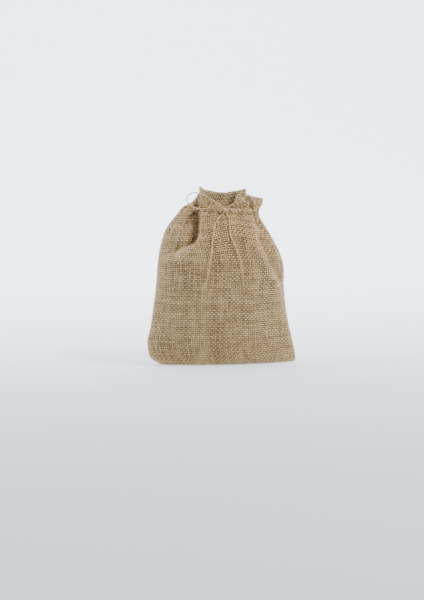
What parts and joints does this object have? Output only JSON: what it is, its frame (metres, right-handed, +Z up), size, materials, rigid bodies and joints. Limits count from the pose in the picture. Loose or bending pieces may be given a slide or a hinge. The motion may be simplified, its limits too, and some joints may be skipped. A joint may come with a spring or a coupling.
{
  "type": "drawstring gift pouch",
  "caption": "Small pouch of open-weave hessian, standing filled, its gathered neck drawn in by jute twine that is tied in a bow with hanging tails.",
  "frame": {"origin": "on the surface the pouch stands on, under the middle of the bounding box of the pouch without its bow", "axes": "+Z up, -Y towards the front with the bow, +X to the right seen from the front"},
  "size_m": [0.144, 0.0682, 0.1714],
  "materials": {
    "hessian": "coarse plain weave of jute yarn",
    "twine": "twisted two-ply jute twine",
    "thread": "matt spun thread"
  },
  "bodies": {
    "pouch": {"front_panel": "hessian", "back_panel": "hessian", "left_seam_thread": "thread", "right_seam_thread": "thread", "bottom_seam_thread": "thread", "front_casing_thread": "thread", "back_casing_thread": "thread", "neck_cord": "twine", "bow_knot": "twine"},
    "left_loop": {"left_loop": "twine"},
    "right_loop": {"right_loop": "twine"},
    "left_tail": {"left_tail": "twine"},
    "right_tail": {"right_tail": "twine"}
  },
  "joints": [
    {"name": "left_loop_swing", "type": "hinge", "parent": "pouch", "child": "left_loop", "pos_m": [0.00025, -0.02128, 0.1495], "axis": [0, 0, 1], "range_deg": [0, 40]},
    {"name": "right_loop_swing", "type": "hinge", "parent": "pouch", "child": "right_loop", "pos_m": [0.00025, -0.02128, 0.1495], "axis": [0, 0, -1], "range_deg": [0, 40]},
    {"name": "left_tail_swing", "type": "hinge", "parent": "pouch", "child": "left_tail", "pos_m": [0.00025, -0.02128, 0.1495], "axis": [-1, 0, 0], "range_deg": [0, 70]},
    {"name": "right_tail_swing", "type": "hinge", "parent": "pouch", "child": "right_tail", "pos_m": [0.00025, -0.02128, 0.1495], "axis": [-1, 0, 0], "range_deg": [0, 70]}
  ]
}
